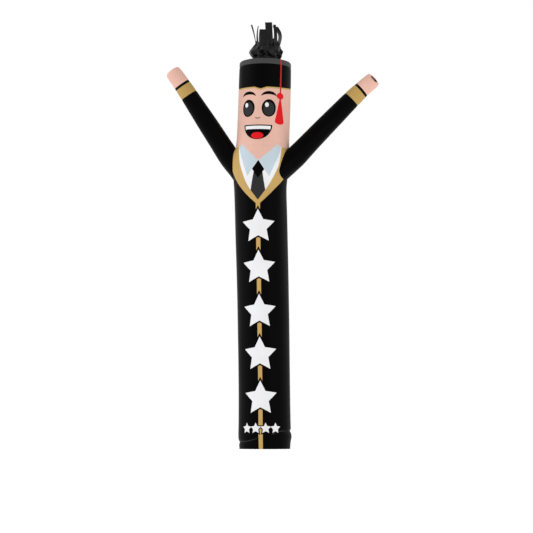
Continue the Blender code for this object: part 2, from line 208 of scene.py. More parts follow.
PINCH_ROWS = (  # distance along an arm, how far its lower side is drawn in on the right and on the left
    (-0.100, 0.0060, 0.0090),
    (-0.070, 0.0062, 0.0096),
    (-0.050, 0.0062, 0.0094),
    (-0.030, 0.0056, 0.0086),
    (-0.013, 0.0036, 0.0072),
    (0.003, 0.0020, 0.0050),
    (0.020, 0.0005, 0.0026),
    (0.050, -0.0019, -0.0006),
    (0.090, -0.0012, -0.0011),
    (0.140, 0.0000, 0.0000),
    (0.220, 0.0000, 0.0000),
    (0.350, -0.0024, 0.0000),
    (0.420, -0.0024, 0.0000),
    (0.470, 0.0000, 0.0000),
)
THREAD = 0.0005
RIPSTOP = 0.0050
BLACK = (0.0006, 0.0006, 0.0007)
BLACK_SPECULAR = 0.03
BLACK_SHEEN = 0.055
SHEEN_ROUGHNESS = 0.35
FILM_SPECULAR = 0.21

# Camera
CAMERA_DISTANCE = 7.5
CAMERA_HEIGHT = 0.10
CAMERA_PITCH = 5.22408
CAMERA_YAW = -0.0557
SENSOR_WIDTH = 36.0
LENS = 117.45

# Light
FLOOR_HALF = 40.0
FLOOR_GREY = (0.45, 0.45, 0.45)
FLOOR_GLOW = 0.72
SKY_MEAN = 0.80  # the sky's strength as light, and its change towards the right and the back
SKY_RIGHT = -0.14
SKY_BACK = 0.10
LIGHT_TARGET = (0.0, 0.0, 1.0)
SOFTBOXES = (  # name, place, watts, size
    ("left_softbox", (-4.0, -0.5, 2.2), 45.0, 2.5),
    ("right_softbox", (3.5, 1.5, 1.8), 14.0, 1.5),
    ("front_softbox", (2.6, -3.2, 1.5), 34.0, 2.5),
)

# Printed dress, girth and height in millimetres from the middle of the front and the floor
PRINT_DRIFT_ROWS = (  # height, how far the print wanders to the right of the middle
    (0, 0.4),
    (550, 0.2),
    (700, 0.9),
    (860, 2.6),
    (1020, 4.6),
    (1100, 6.2),
    (1180, 5.2),
    (1240, 2.8),
    (1310, 0.2),
)
SKIN_TOP = 1297
SKIN_V = (
    (-190, SKIN_TOP), (-104, SKIN_TOP), (-84, 1303), (0, 1233),
    (84, 1303), (104, SKIN_TOP), (190, SKIN_TOP))
COLLAR = ((84, 1308), (103.5, 1294), (101, 1286), (48, 1166), (0, 1233))
SHIRT_EDGE = ((104.5, 1300), (104.5, 1290), (95, 1228), (77, 1185), (57, 1145), (32, 1106), (0, 1066))
LAPEL_EDGE = (
    (190, 1300), (186, 1255), (170, 1215), (148, 1184), (122, 1156), (78, 1115), (44.5, 1082), (9, 1049))
TIE_KNOT = ((0, 1235), (27, 1196), (0, 1157), (-27, 1196))
TIE_BLADE = ((-18.5, 1187), (18.5, 1187), (32, 1106), (0, 1063), (-32, 1106))
KNOT_LINE = 2.0
PLACKET_HALF = 9.0
CREASE_REACH = ((-150, -4), (46, 128))  # the parts of the foot's fold that get a painted highlight line
CREASE_WIDTH = 3.2
STAR_HEIGHTS = (948, 772, 583, 401, 215)
STAR_RADIUS = 76
STAR_LINE = 7
STAR_INNER_SHARE = 0.50
SMALL_STAR_HEIGHT = 88
SMALL_STAR_PITCH = 43
SMALL_STAR_RADIUS = 24
SMALL_STAR_LINE = 4.5
TASSEL_GIRTH = 89.5
FACE_GIRTH = -8
EYE_APART = 92
EYE_HEIGHT = 1461


# ---- the dancer's form


def smooth(rows, column, at):
    """A column of a table, read on a smooth curve through its rows."""
    places = np.array([row[0] for row in rows], float)
    values = np.array([row[column] for row in rows], float)
    slopes = np.gradient(values, places)
    at = np.clip(at, places[0], places[-1])
    low = np.clip(np.searchsorted(places, at, side="right") - 1, 0, len(rows) - 2)
    span = places[low + 1] - places[low]
    t = (at - places[low]) / span
    return (
        (2 * t**3 - 3 * t**2 + 1) * values[low]
        + (t**3 - 2 * t**2 + t) * span * slopes[low]
        + (3 * t**2 - 2 * t**3) * values[low + 1]
        + (t**3 - t**2) * span * slopes[low + 1]
    )


def lean_at(height):
    step = 0.01
    slope = (smooth(AXIS_ROWS, 1, height + step) - smooth(AXIS_ROWS, 1, height - step)) / (2 * step)
    return LEAN_SHARE * np.arctan(slope) * np.minimum(height / FOOT_ZONE, 1.0)


def wrapped(degrees):
    return (degrees + 180.0) % 360.0 - 180.0


def fold_height(degrees):
    return smooth(FOLD_ROWS, 1, wrapped(degrees))


def foot_relief(degrees, height):
    side = np.sin(np.radians(degrees))
    depth = FOLD_DEPTH_FRONT + (FOLD_DEPTH_SIDE - FOLD_DEPTH_FRONT) * side**2
    groove = np.exp(-(((height - fold_height(degrees)) / 0.006) ** 2))
    lip = np.exp(-(((height - 0.052) / 0.013) ** 2)) * (0.55 + 0.45 * side)
    return FOLD_LIP * lip - depth * groove


def arm_frame(arm):
    """Where an arm leaves the body's side, its direction, its upper normal and its side normal."""
    turn, tilt = math.radians(arm[1]), math.radians(arm[2])
    outward = np.array((math.cos(turn), math.sin(turn), 0.0))
    along = outward * math.cos(tilt) + np.array((0.0, 0.0, math.sin(tilt)))
    upper = np.array((0.0, 0.0, math.cos(tilt))) - outward * math.sin(tilt)
    foot = np.array((smooth(AXIS_ROWS, 1, ROOT_HEIGHT), arm[4], arm[3]))
    start = foot + along * (smooth(GIRTH_ROWS, 1, ROOT_HEIGHT) / math.cos(tilt))
    return start, along, upper, np.cross(along, upper)


ARM_FRAMES = {arm[0]: arm_frame(arm) for arm in ARMS}
ARM_DROOPS = {arm[0]: arm[8] for arm in ARMS}
FRONT_SIGN = {"right": 1.0, "left": -1.0}  # of the sine of the turn on an arm's front


def swell_at(degrees, height):
    """The body swells out round the root of each arm."""
    total = 0.0
    for arm in ARMS:
        start = ARM_FRAMES[arm[0]][0]
        middle = math.degrees(math.atan2(start[0] - smooth(AXIS_ROWS, 1, ROOT_HEIGHT), -start[1]))
        away = wrapped(degrees - middle)
        across = np.radians(away) * smooth(GIRTH_ROWS, 1, height)
        fade = np.where(height < start[2], SWELL_FALL[arm[0]], SWELL_RISE)
        rise = (height - start[2]) / fade
        total = total + arm[7] * np.exp(-((across / SWELL_ACROSS) ** 2) - rise**2)
    return total


def body_radius(degrees, height):
    return smooth(GIRTH_ROWS, 1, height) + foot_relief(degrees, height) + swell_at(degrees, height)


def body(degrees, height, lift=0.0):
    """Points of the body's cloth."""
    angle, lean = np.radians(degrees), lean_at(height)
    radius = body_radius(degrees, height) + lift
    across = radius * np.sin(angle)
    x = STAND_X + smooth(AXIS_ROWS, 1, height) + across * np.cos(lean)
    return np.stack([x, -radius * np.cos(angle), height - across * np.sin(lean)], axis=-1)


def body_coordinates(points):
    """The angle, the height along the cloth and the distance outside the body of some points."""
    x, y, z = np.moveaxis(points, -1, 0)
    x = x - STAND_X
    height = z
    for _ in range(4):
        across = x - smooth(AXIS_ROWS, 1, height)
        height = z + across * np.sin(lean_at(height))
    across = (x - smooth(AXIS_ROWS, 1, height)) / np.cos(lean_at(height))
    degrees = np.degrees(np.arctan2(across, -y))
    return degrees, height, np.hypot(across, y) - body_radius(degrees, height)


def cap_edge(degrees):
    away = wrapped(degrees - FRONT_ANGLE)
    facing = np.maximum(np.cos(np.radians(away)), 0.0)
    point = np.maximum(1.0 - np.abs(away) / CAP_POINT_HALF_ANGLE, 0.0)
    return CAP_EDGE_HEIGHT - CAP_EDGE_DIP * facing * (2.0 - facing) - CAP_POINT_DIP * point


def girth_angle(girth):
    return FRONT_ANGLE + np.degrees(girth / PRINT_RADIUS)


def arm_point(side, turn, place, radius):
    """Points of an arm's cloth; turn runs round the arm in radians from its upper side."""
    start, along, upper, sideways = ARM_FRAMES[side]
    place = np.asarray(place, float)
    droop, span = math.radians(ARM_DROOPS[side]), BEND_END - BEND_START
    share = np.clip((place - BEND_START) / span, 0.0, 1.0)
    drop = droop * (span * (share**3 - share**4 / 2) + np.maximum(place - BEND_END, 0.0))
    bend = droop * (3 * share**2 - 2 * share**3)
    wide = 1.0 + ROOT_WIDENING * np.exp(-np.maximum(place + 0.05, 0.0) / 0.08)
    fuller = ROOT_FULLNESS[side] * np.exp(-np.maximum(place + 0.05, 0.0) / 0.06)
    turned = (turn * FRONT_SIGN[side] - FULLEST_TURN + math.pi) % (2 * math.pi) - math.pi
    pinch = smooth(PINCH_ROWS, 1 if side == "right" else 2, place)
    radius = radius + fuller * np.exp(-((turned / 0.58) ** 2)) - pinch * np.maximum(-np.cos(turn), 0.0)
    normal = np.cos(bend)[..., None] * upper + np.sin(bend)[..., None] * along
    spread = np.cos(turn)[..., None] * normal + (wide * np.sin(turn))[..., None] * sideways
    line = start + np.array((STAND_X, 0.0, 0.0)) + place[..., None] * along - drop[..., None] * upper
    return line + spread * np.asarray(radius)[..., None]


def root_place(side, turn):
    """How far along an arm its cloth leaves the body, all round."""
    inside, outside = np.full(turn.shape, -0.14), np.full(turn.shape, 0.16)
    for _ in range(30):
        middle = (inside + outside) / 2
        _, _, clear = body_coordinates(arm_point(side, turn, middle, smooth(ARM_ROWS, 1, middle)))
        inside = np.where(clear < 0.0, middle, inside)
        outside = np.where(clear < 0.0, outside, middle)
    return outside


# ---- meshes of cloth


def surface_normals(surface, girth, run):
    """Normals of a surface from small steps along its two coordinates."""
    step = 0.0004
    across = surface(girth + step, run) - surface(girth - step, run)
    along = surface(girth, run + step) - surface(girth, run - step)
    normal = np.cross(across, along)
    return normal / np.maximum(np.linalg.norm(normal, axis=-1, keepdims=True), 1e-12)


def new_object(name, data):
    made = bpy.data.objects.new(name, data)
    bpy.context.scene.collection.objects.link(made)
    return made


def corner_points(mesh):
    corners = np.empty(len(mesh.loops), np.int32)
    mesh.loops.foreach_get("vertex_index", corners)
    return corners


def cloth_object(name, points, faces, coordinates, materials, indices):
    """A smooth mesh with its cloth coordinates as a UV map."""
    mesh = bpy.data.meshes.new(name)
    mesh.from_pydata([tuple(point) for point in points], [], faces)
    for made in materials:
        mesh.materials.append(made)
    mesh.polygons.foreach_set("material_index", np.asarray(indices, np.int32))
    layer = mesh.uv_layers.new(name="cloth")
    layer.data.foreach_set("uv", np.asarray(coordinates, np.float32)[corner_points(mesh)].ravel())
    mesh.shade_smooth()
    return new_object(name, mesh)


def inside(outline, points):
    """Which points lie inside a closed outline."""
    x, y = points[:, 0], points[:, 1]
    found = np.zeros(len(points), bool)
    after = np.roll(outline, -1, axis=0)
    for (x0, y0), (x1, y1) in zip(outline, after):
        if y0 == y1:
            continue
        crosses = (y0 > y) != (y1 > y)
        found ^= crosses & (x < (x1 - x0) * (y - y0) / (y1 - y0) + x0)
    return found


def resampled(outline, step=EDGE_STEP):
    """A closed outline with points no further apart than the step."""
    points = []
    for start, end in zip(outline, np.roll(outline, -1, axis=0)):
        count = max(int(math.ceil(np.linalg.norm(end - start) / step)), 1)
        points += [start + (end - start) * index / count for index in range(count)]
    return np.array(points)


def printed_tube(name, surface, low, high, half, prints, plain, holes, step):
    """A tube of cloth, closed at the back, whose printed shapes are cut into the mesh.

    low and high give the run of its two edges at a girth, half is half its girth, and prints
    holds (material, outline) pairs, the later ones over the earlier.
    """
    columns = int(round(2 * half / step))
    girths = np.linspace(-half, half, columns + 1)
    lows, highs = low(girths), high(girths)
    rows = int(math.ceil((highs[0] - lows[0]) / step))
    seam = np.linspace(lows[0], highs[0], rows + 1)
    border = np.array([
        *zip(girths, lows), *((half, v) for v in seam[1:-1]),
        *zip(girths[::-1], highs[::-1]), *((-half, v) for v in seam[::-1][1:-1])])
    shapes = [*holes, *(outline for _, outline in prints)]
    outlines = [border, *(resampled(np.asarray(shape)) for shape in shapes)]
    near = kdtree.KDTree(sum(len(outline) for outline in outlines))
    vertices, edges = [], []
    for outline in outlines:
        first = len(vertices)
        for index, point in enumerate(outline):
            near.insert((point[0], point[1], 0.0), first + index)
            vertices.append((float(point[0]), float(point[1])))
            edges.append((first + index, first + (index + 1) % len(outline)))
    near.balance()
    fill_rows = int(round((highs.max() - lows.min()) / (step * 0.866)))
    for row in range(1, fill_rows):
        v = lows.min() + (highs.max() - lows.min()) * row / fill_rows
        shift = 0.5 * step * (row % 2)
        for g in np.arange(-half + step * 0.5 + shift, half - step * 0.3, step):
            if near.find((g, v, 0.0))[2] > 0.45 * step:
                vertices.append((float(g), float(v)))
    made = geometry.delaunay_2d_cdt([Vector(v) for v in vertices], edges, [], 0, 1e-6, False)
    flat = np.array([tuple(v) for v in made[0]])
    faces = np.array(made[2])
    centres = flat[faces].mean(axis=1)
    kept = inside(border, centres)
    for hole in holes:
        kept &= ~inside(np.asarray(hole), centres)
    faces, centres = faces[kept], centres[kept]
    materials, indices = [plain], np.zeros(len(faces), int)
    for cloth, outline in prints:
        if cloth not in materials:
            materials.append(cloth)
        indices[inside(np.asarray(outline), centres)] = materials.index(cloth)
    turned = flat[faces]
    area = np.cross(turned[:, 1] - turned[:, 0], turned[:, 2] - turned[:, 0])
    faces[area < 0] = faces[area < 0][:, ::-1]
    points = surface(flat[:, 0], flat[:, 1])
    made = cloth_object(name, points, faces.tolist(), flat, materials, indices)
    close_tube(made, surface, BACK_WELD, half)
    return made


def close_tube(made, surface, weld, half=None):
    """Joins a tube's two edges, at half its girth or wherever they meet, and sets the normals."""
    mesh = bmesh.new()
    mesh.from_mesh(made.data)
    cloth = mesh.loops.layers.uv["cloth"]
    loose = [vert for vert in mesh.verts if not vert.link_faces]
    bmesh.ops.delete(mesh, geom=loose, context="VERTS")
    ends = [vert for vert in mesh.verts if half is None or any(
        abs(abs(loop[cloth].uv.x) - half) < 1e-5 for loop in vert.link_loops)]
    bmesh.ops.remove_doubles(mesh, verts=ends, dist=weld)
    mesh.to_mesh(made.data)
    mesh.free()
    set_normals(made, surface)


def set_normals(made, surface):
    """Each point's normal, taken from the surface at its cloth coordinates."""
    data = made.data
    coordinates = np.empty(len(data.loops) * 2, np.float32)
    data.uv_layers["cloth"].data.foreach_get("uv", coordinates)
    per_point = np.zeros((len(data.vertices), 2))
    per_point[corner_points(data)] = coordinates.reshape(-1, 2)
    normals = surface_normals(surface, per_point[:, 0], per_point[:, 1])
    data.normals_split_custom_set_from_vertices([tuple(normal) for normal in normals])


def ring_tube(name, surface, columns, girth, runs, cloth):
    """A tube of cloth as rows of rings; girth is its whole girth."""
    girths = girth * np.arange(columns + 1) / columns
    grid_g, grid_v = np.meshgrid(girths, runs)
    points = surface(grid_g, grid_v).reshape(-1, 3)
    coordinates = np.stack([grid_g, grid_v], axis=-1).reshape(-1, 2)
    wide = columns + 1
    corners = [row * wide + column for row in range(len(runs) - 1) for column in range(columns)]
    faces = [(corner, corner + 1, corner + wide + 1, corner + wide) for corner in corners]
    made = cloth_object(name, points, faces, coordinates, [cloth], [0] * len(faces))
    close_tube(made, surface, RING_WELD)
    return made


# ---- printed shapes


def millimetres(points):
    return np.array(points, float) / 1000.0


def mirrored(points):
    return [(-x, y) for x, y in reversed(points)]


def curve_through(points, count=8):
    """Points on a smooth curve through some points."""
    points = np.array(points, float)
    ends = np.vstack([2 * points[0] - points[1], points, 2 * points[-1] - points[-2]])
    made = []
    for a, b, c, d in zip(ends, ends[1:], ends[2:], ends[3:]):
        for index in range(count):
            t = index / count
            bend = (2 * a - 5 * b + 4 * c - d) * t**2 + (3 * b - a - 3 * c + d) * t**3
            made.append(0.5 * (2 * b + (c - a) * t + bend))
    made.append(points[-1])
    return [tuple(point) for point in made]


def ellipse(x, y, half_width, half_height, start=0.0, end=360.0, count=40):
    angles = np.radians(np.linspace(start, end, count, endpoint=end - start < 360.0))
    return [(x + half_width * math.cos(a), y + half_height * math.sin(a)) for a in angles]


def star(x, y, radius, line=0.0):
    """A five-pointed star, its outline moved out by the width of a line."""
    inner = radius * STAR_INNER_SHARE
    turn = math.radians(36)
    edge = math.hypot(radius * math.cos(turn) - inner, radius * math.sin(turn))
    reach = 1.0 + line * edge / (radius * inner * math.sin(turn))
    points = []
    for index in range(10):
        distance = reach * (radius if index % 2 == 0 else inner)
        angle = math.radians(90) + index * turn
        points.append((x + distance * math.cos(angle), y + distance * math.sin(angle)))
    return points


def drifted(outline):
    """An outline in metres that follows the wander of the print up the cloth."""
    points = np.array(outline, float)
    points[:, 0] += smooth(PRINT_DRIFT_ROWS, 1, points[:, 1])
    return points / 1000.0


def collar_prints(cloths):
    """Both points of the collar, which reach over the neck seam."""
    return [(cloths["collar"], drifted(outline)) for outline in (COLLAR, mirrored(COLLAR))]


def dress_prints(cloths):
    """A painted highlight line along the foot's fold, then shirt, collar, tie, lapels, placket and stars,
    back to front.
    """
    shirt = curve_through(SHIRT_EDGE)
    lapel = curve_through(LAPEL_EDGE)
    placket = [(-PLACKET_HALF, height) for height in (1060, *range(1020, 0, -40), -5)]
    knot = np.array(TIE_KNOT, float)
    middle = knot.mean(axis=0)
    shapes = [
        ("gold", lapel + mirrored(lapel)),
        ("gold", placket + mirrored(placket)),
        ("white", shirt + mirrored(shirt)),
        ("skin", (*SKIN_V, (190, 1320), (-190, 1320))),
        ("collar", COLLAR),
        ("collar", mirrored(COLLAR)),
        ("pale", middle + (knot - middle) * (1.0 + KNOT_LINE / knot[1, 0])),
        ("tie", TIE_BLADE),
        ("ink", knot),
    ]
    large = [(0, height, STAR_RADIUS) for height in STAR_HEIGHTS]
    places = (-1.5, -0.5, 0.5, 1.5)
    small = [(place * SMALL_STAR_PITCH, SMALL_STAR_HEIGHT, SMALL_STAR_RADIUS) for place in places]
    for stars, line in ((large, STAR_LINE), (small, SMALL_STAR_LINE)):
        shapes += [("ink", star(*each, line)) for each in stars]
        shapes += [("white", star(*each)) for each in stars]
    # a painted highlight along the foot's fold, laid under the dress's prints
    painted_highlight = [(cloths["painted_highlight"], millimetres(highlight_line(*reach))) for reach in CREASE_REACH]
    return painted_highlight + [(cloths[key], drifted(outline)) for key, outline in shapes]


def highlight_line(first, last):
    """A thin painted highlight line on the foot's fold, pointed at both ends, standing in for light on the
    fold's ridge.
    """
    girths = np.linspace(first, last, 25)
    heights = fold_height(girth_angle(girths / 1000.0)) * 1000.0 + 1.2
    half = CREASE_WIDTH / 2 * np.sin(np.linspace(0.0, math.pi, 25)) ** 0.4
    return list(zip(girths, heights + half)) + list(zip(girths, heights - half))[-2:0:-1]


def tassel_prints(cloths):
    """Cord, knot and skirt of the tassel that hangs over the cap's edge and the face."""
    x = TASSEL_GIRTH
    skirt = [(x - 4, 1503), (x + 4, 1503), (x + 7, 1488), (x + 15, 1448), (x + 23, 1410)]
    skirt += ellipse(x, 1406, 24, 13, 0, -180, 9)
    skirt += [(x - 23, 1410), (x - 15, 1448), (x - 7, 1488)]
    cord = [(x - 3.6, 1510), (x - 1.8, 1700), (x + 5.4, 1700), (x + 3.6, 1510)]
    knot = ellipse(x, 1517, 17.5, 14.7)
    return [(cloths[key], millimetres(outline)) for key, outline in (
        ("cord", cord), ("red", skirt), ("red", knot))]


def arch(x, y, half_width, rise, thick):
    """A tapered arc that bows upwards, pointed at both ends."""
    below = ellipse(x, y, half_width, rise - thick, 180, 0, 17)
    return ellipse(x, y, half_width, rise, 0, 180, 17) + below[1:-1]


def face_prints(cloths):
    """A plain cheerful face: round eyes, arched brows and a half-moon smile."""
    x = FACE_GIRTH
    shapes = []
    for eye in (x - EYE_APART / 2, x + EYE_APART / 2):
        shapes += [
            ("ink", arch(eye, 1510, 35, 25, 14)),
            ("ink", ellipse(eye, EYE_HEIGHT, 31, 38)),
            ("tie", ellipse(eye, EYE_HEIGHT - 3, 24, 30)),
            ("white", ellipse(eye - 9, EYE_HEIGHT + 14, 8, 10)),
        ]
    shapes += [
        ("ink", arch(x, 1424, 13, -10, -3.5)),
        ("ink", ellipse(x, 1388, 64, 64, 180, 360)),
        ("white", ellipse(x, 1383, 57, 56, 180, 360)),
        ("ink", ellipse(x, 1372, 54, 47, 184, 356)),
        ("red", ellipse(x, 1341, 27, 14)),
    ]
    return [(cloths[key], millimetres(outline)) for key, outline in shapes]


# ---- materials


def node(tree, kind, inputs=(), **settings):
    """A shader node with its settings and its inputs, which are values or other nodes' outputs."""
    made = tree.nodes.new(kind)
    for key, value in settings.items():
        setattr(made, key, value)
    for key, value in dict(inputs).items():
        if isinstance(value, bpy.types.NodeSocket):
            tree.links.new(value, made.inputs[key])
        else:
            made.inputs[key].default_value = value
    return made


def new_material(name, inputs):
    made = bpy.data.materials.new(name)
    made.use_nodes = True
    shader = made.node_tree.nodes["Principled BSDF"]
    for key, value in inputs.items():
        shader.inputs[key].default_value = value
    return made, made.node_tree, shader


def nylon(name, colour, roughness=0.5, specular=0.10, sheen=0.03, mottle=0.06):
    """Coated ripstop nylon: fine threads, a ripstop grid, soft mottling and faint creases."""
    made, tree, shader = new_material(name, {
        "Metallic": 0.0, "Specular IOR Level": specular,
        "Sheen Weight": sheen, "Sheen Roughness": SHEEN_ROUGHNESS})
    cloth = node(tree, "ShaderNodeUVMap", uv_map="cloth").outputs["UV"]
    place = node(tree, "ShaderNodeTexCoord").outputs["Object"]
    blotch = node(tree, "ShaderNodeTexNoise", {"Vector": place, "Scale": 9.0, "Detail": 3.0})
    grain = node(tree, "ShaderNodeTexNoise", {"Vector": cloth, "Scale": 900.0, "Detail": 1.0})
    mixed = node(tree, "ShaderNodeMath", {
        0: blotch.outputs["Fac"], 1: grain.outputs["Fac"]}, operation="ADD")
    shade = node(tree, "ShaderNodeMapRange", {
        "Value": mixed.outputs[0], "From Min": 0.7, "From Max": 1.3,
        "To Min": 1.0 - mottle, "To Max": 1.0 + mottle})
    tint = node(tree, "ShaderNodeVectorMath", {0: colour, "Scale": shade.outputs[0]}, operation="SCALE")
    tree.links.new(tint.outputs[0], shader.inputs["Base Color"])
    rough = node(tree, "ShaderNodeMapRange", {
        "Value": blotch.outputs["Fac"], "From Min": 0.3, "From Max": 0.7,
        "To Min": roughness - 0.05, "To Max": roughness + 0.05})
    tree.links.new(rough.outputs[0], shader.inputs["Roughness"])
    threads = node(tree, "ShaderNodeTexBrick", {
        "Vector": cloth, "Scale": 1.0, "Mortar Size": THREAD * 0.2, "Brick Width": THREAD * 1.6,
        "Row Height": THREAD})
    ripstop = node(tree, "ShaderNodeTexBrick", {
        "Vector": cloth, "Scale": 1.0, "Mortar Size": THREAD * 0.5, "Brick Width": RIPSTOP,
        "Row Height": RIPSTOP}, offset=0.0)
    weave = node(tree, "ShaderNodeMath", {0: threads.outputs["Fac"], 1: 0.25}, operation="MULTIPLY")
    relief = node(tree, "ShaderNodeMath", {
        0: ripstop.outputs["Fac"], 1: weave.outputs[0]}, operation="SUBTRACT")
    fine = node(tree, "ShaderNodeBump", {"Height": relief.outputs[0], "Strength": 0.25, "Distance": 0.0001})
    crease = node(tree, "ShaderNodeTexNoise", {
        "Vector": place, "Scale": 26.0, "Detail": 4.0, "Distortion": 0.6})
    soft = node(tree, "ShaderNodeBump", {
        "Height": crease.outputs["Fac"], "Normal": fine.outputs[0], "Strength": 0.18, "Distance": 0.0012})
    tree.links.new(soft.outputs[0], shader.inputs["Normal"])
    return made


def film(name):
    """Thin crumpled black film, glossier than the nylon."""
    made, tree, shader = new_material(name, {"Specular IOR Level": FILM_SPECULAR})
    place = node(tree, "ShaderNodeTexCoord").outputs["Object"]
    patch = node(tree, "ShaderNodeTexNoise", {"Vector": place, "Scale": 45.0, "Detail": 3.0})
    shade = node(tree, "ShaderNodeValToRGB", {"Fac": patch.outputs["Fac"]})
    shade.color_ramp.elements[0].color = (0.0015, 0.0015, 0.0016, 1.0)
    shade.color_ramp.elements[1].color = (0.0045, 0.0045, 0.0047, 1.0)
    tree.links.new(shade.outputs["Color"], shader.inputs["Base Color"])
    rough = node(tree, "ShaderNodeMapRange", {
        "Value": patch.outputs["Fac"], "From Min": 0.3, "From Max": 0.7, "To Min": 0.28, "To Max": 0.45})
    tree.links.new(rough.outputs[0], shader.inputs["Roughness"])
    folds = node(tree, "ShaderNodeTexVoronoi", {"Vector": place, "Scale": 95.0}, feature="DISTANCE_TO_EDGE")
    bump = node(tree, "ShaderNodeBump", {
        "Height": folds.outputs["Distance"], "Strength": 0.5, "Distance": 0.002})
    tree.links.new(bump.outputs[0], shader.inputs["Normal"])
    return made


def make_cloths():
    """Every colour of cloth and print."""
    dull = {"specular": BLACK_SPECULAR, "sheen": BLACK_SHEEN}
    return {
        "black": nylon("gown_black", BLACK, **dull, mottle=0.15),
        "ink": nylon("printed_black", BLACK, **dull, mottle=0.10),
        "cap": nylon("cap_black", BLACK, **dull, mottle=0.15),
        # painted highlight: a lighter, sheenier black nylon for the strip on the foot's fold, standing in
        # for light catching the fold's ridge
        "painted_highlight": nylon("painted_crease_highlight", (0.030, 0.030, 0.031), specular=0.05, sheen=0.06),
        "rim": nylon("rim_grey", (0.052, 0.050, 0.052)),
        "skin": nylon("skin_tone", (0.700, 0.423, 0.342), sheen=0.12),
        "gold": nylon("printed_gold", (0.510, 0.329, 0.106)),
        "cuff": nylon("cuff_gold", (0.430, 0.277, 0.085)),
        "white": nylon("printed_white", (0.77, 0.77, 0.78)),
        "collar": nylon("printed_pale_blue", (0.490, 0.575, 0.635)),
        "tie": nylon("printed_charcoal", (0.023, 0.023, 0.024)),
        "pale": nylon("printed_pale_line", (0.72, 0.76, 0.80)),
        "red": nylon("printed_red", (0.68, 0.006, 0.011)),
        "cord": nylon("printed_dark_red", (0.42, 0.016, 0.022)),
        "film": film("hair_film"),
    }


# ---- pieces of the body


def seam_lift(distance):
    """Cloth pulled in along a seam."""
    return -SEAM_PINCH * np.exp(-((distance / SEAM_WIDTH) ** 2))


def pucker_lift(along, distance, reach=0.020):
    """Small gathers that run out from a seam and fade."""
    waves = np.sin(along * 2 * math.pi / 0.013) + 0.7 * np.sin(along * 2 * math.pi / 0.0083 + 1.3)
    fade = np.exp(-np.abs(distance) / reach) * (1.0 - np.exp(-((distance / SEAM_WIDTH) ** 2)))
    return PUCKER * waves * fade


def sewn(girth, distance, reach=0.020):
    """A seam and its gathers."""
    return seam_lift(distance) + pucker_lift(girth, distance, reach)


def crease_lift(girth, height):
    """The few long creases that show near the neck, the armholes and the foot."""
    lift = 0.0
    for start, low, end, high, bow, depth, half in CREASES:
        share = np.clip((girth - start) / (end - start), 0.0, 1.0)
        past = np.abs(girth - (start + share * (end - start)))
        line = low + share * (high - low) + 4.0 * bow * share * (1.0 - share)
        fade = np.sin(math.pi * np.clip(share * 0.9 + 0.05, 0.0, 1.0)) * np.exp(-((past / 0.006) ** 2))
        away = (height - line) / half
        lift = lift - depth * fade * (np.exp(-(away**2)) - 0.7 * np.exp(-((away - 1.6) ** 2)))
    return lift


def armhole(side):
    """The hole under a sleeve, as girth and height, and how far its edge is drawn out."""
    turns = np.linspace(0.0, 2 * math.pi, 72, endpoint=False)
    places = root_place(side, turns)
    points = arm_point(side, turns, places, smooth(ARM_ROWS, 1, places))
    seam = places + seam_reach(side, turns)
    drawn = arm_point(side, turns, seam, smooth(ARM_ROWS, 1, seam)) - points
    degrees, height, _ = body_coordinates(points)
    away = wrapped(degrees - FRONT_ANGLE)
    return np.stack([np.radians(away) * PRINT_RADIUS, height], axis=-1), drawn


def seam_reach(side, turn):
    """How far out along an arm the gown's cloth runs before the sleeve's seam."""
    above, front, below, behind = ARMHOLE_REACH[side]
    up, forward = np.cos(turn), np.sin(turn) * FRONT_SIGN[side]
    return np.where(up > 0, above, below) * up**2 + np.where(forward > 0, front, behind) * forward**2


ARMHOLES = {arm[0]: armhole(arm[0]) for arm in ARMS}


def armhole_pull(side, girth, height):
    """Near an armhole: the distance to its edge, the place along it and the cloth's pull."""
    hole, drawn = ARMHOLES[side]
    shape = np.shape(girth)
    points = np.stack([np.ravel(girth), np.ravel(height)], axis=-1)
    gap, along, pull = np.full(len(points), 9.0), np.zeros(len(points)), np.zeros((len(points), 3))
    low, high = hole.min(axis=0) - 0.08, hole.max(axis=0) + 0.08
    close = np.flatnonzero(np.all((points > low) & (points < high), axis=1))
    if len(close):
        after = np.roll(hole, -1, axis=0)
        edge = after - hole
        lengths = np.linalg.norm(edge, axis=1)
        away = points[close][:, None] - hole[None]
        share = np.clip((away * edge).sum(axis=2) / lengths**2, 0.0, 1.0)
        gaps = np.linalg.norm(away - share[..., None] * edge, axis=2)
        nearest = gaps.argmin(axis=1)
        rows = np.arange(len(close))
        share = share[rows, nearest]
        gap[close] = gaps[rows, nearest]
        along[close] = (lengths.cumsum() - lengths)[nearest] + share * lengths[nearest]
        reach = drawn[nearest] + share[:, None] * (np.roll(drawn, -1, axis=0) - drawn)[nearest]
        pull[close] = reach * np.exp(-gap[close] / PULL_FADE)[:, None]
    return gap.reshape(shape), along.reshape(shape), pull.reshape((*shape, 3))


def gown_surface(girth, height):
    from_neck = NECK_HEIGHT - height
    lift = sewn(girth, from_neck)
    pulled = 0.0
    for side in ARMHOLES:
        gap, along, pull = armhole_pull(side, girth, height)
        lift = lift + 1.2 * seam_lift(gap) + 1.4 * pucker_lift(along, gap)
        pulled = pulled + pull
    lift = lift - 0.0006 * np.exp(-(((height - HEM_STITCH) / 0.0025) ** 2))
    lift = lift + 0.0005 * np.exp(-height / 0.01) * np.sin(girth * 2 * math.pi / 0.031)
    return body(girth_angle(girth), height, lift + crease_lift(girth, height)) + pulled


def head_surface(girth, height):
    degrees = girth_angle(girth)
    from_neck, from_cap = height - NECK_HEIGHT, cap_edge(degrees) - height
    lift = sewn(girth, from_neck, 0.026) + sewn(girth, from_cap) + crease_lift(girth, height)
    return body(degrees, height, lift)


